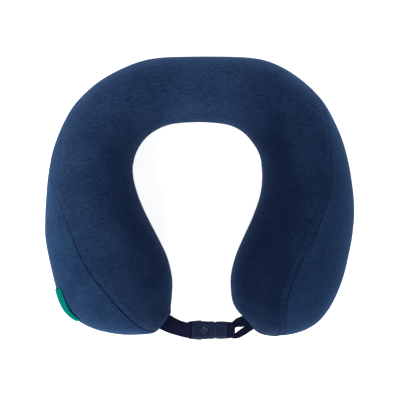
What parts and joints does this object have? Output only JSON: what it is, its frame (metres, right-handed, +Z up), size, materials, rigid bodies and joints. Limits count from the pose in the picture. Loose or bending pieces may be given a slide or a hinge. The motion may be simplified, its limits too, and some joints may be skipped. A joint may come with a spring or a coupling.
{
  "type": "u shaped neck pillow",
  "caption": "U-shaped travel neck pillow of memory foam in a zipped velour cover, closed across the front by a webbing strap, a side-release buckle and an elastic loop.",
  "frame": {"origin": "on the base, under the centre of the object's box", "axes": "+X to the object's right arm seen from above with the opening nearest, +Y to the back of the neck, +Z up off the flat base"},
  "size_m": [0.2991, 0.2747, 0.112],
  "materials": {
    "memory_foam": "open-cell foam, matt",
    "liner_knit": "thin dark knit",
    "velour_top": "dark navy velour, soft nap",
    "velour_side": "navy velour, soft nap",
    "velour_base": "dark navy velour, soft nap",
    "label_woven_green": "woven label, blank",
    "zip_tape_woven": "woven tape",
    "zip_coil_nylon": "nylon coil",
    "zip_dark_metal": "dark plated metal",
    "webbing_navy": "woven webbing",
    "elastic_navy": "woven elastic",
    "buckle_acetal": "satin moulded plastic"
  },
  "bodies": {
    "pillow": {"foam_core": "memory_foam", "inner_liner": "liner_knit", "cover_top_panel": "velour_top", "cover_side_panel_left": "velour_side", "cover_side_panel_right": "velour_side", "cover_base_panel": "velour_base", "side_label": "label_woven_green", "zip_tape_upper": "zip_tape_woven", "zip_tape_lower": "zip_tape_woven", "zip_coil_upper": "zip_coil_nylon", "zip_coil_lower": "zip_coil_nylon", "zip_end_stop_left": "zip_dark_metal", "zip_end_stop_right": "zip_dark_metal", "strap_webbing": "webbing_navy", "elastic_loop": "elastic_navy", "buckle_socket": "buckle_acetal"},
    "plug": {"buckle_plug_frame": "buckle_acetal"},
    "latch_rear": {"buckle_latch_arm_rear": "buckle_acetal"},
    "latch_front": {"buckle_latch_arm_front": "buckle_acetal"},
    "slider": {"zip_slider_body": "zip_dark_metal"},
    "pull_tab": {"zip_pull_tab": "zip_dark_metal"}
  },
  "joints": [
    {"name": "plug_release", "type": "slide", "parent": "pillow", "child": "plug", "axis": [1, 0, 0], "range_m": [0, 0.013], "deforming": ["elastic_loop"]},
    {"name": "latch_rear_swing", "type": "hinge", "parent": "plug", "child": "latch_rear", "pos_m": [0.0164, -0.1217, 0.038], "axis": [0, 0, 1], "range_deg": [0, 10.01]},
    {"name": "latch_front_swing", "type": "hinge", "parent": "plug", "child": "latch_front", "pos_m": [0.0164, -0.1337, 0.038], "axis": [0, 0, -1], "range_deg": [0, 10.01]},
    {"name": "zip_run", "type": "hinge", "parent": "pillow", "child": "slider", "pos_m": [0, 0, 0.02], "axis": [0, 0, -1], "range_deg": [0, 104]},
    {"name": "pull_tab_swing", "type": "hinge", "parent": "slider", "child": "pull_tab", "pos_m": [-0.10709, 0.08367, 0.02], "axis": [0, 0, -1], "range_deg": [0, 170]}
  ],
  "couplings": [
    {"joint": "latch_rear_swing", "follows": "plug_release", "rad_per_m": 13.426},
    {"joint": "latch_front_swing", "follows": "plug_release", "rad_per_m": 13.426}
  ]
}
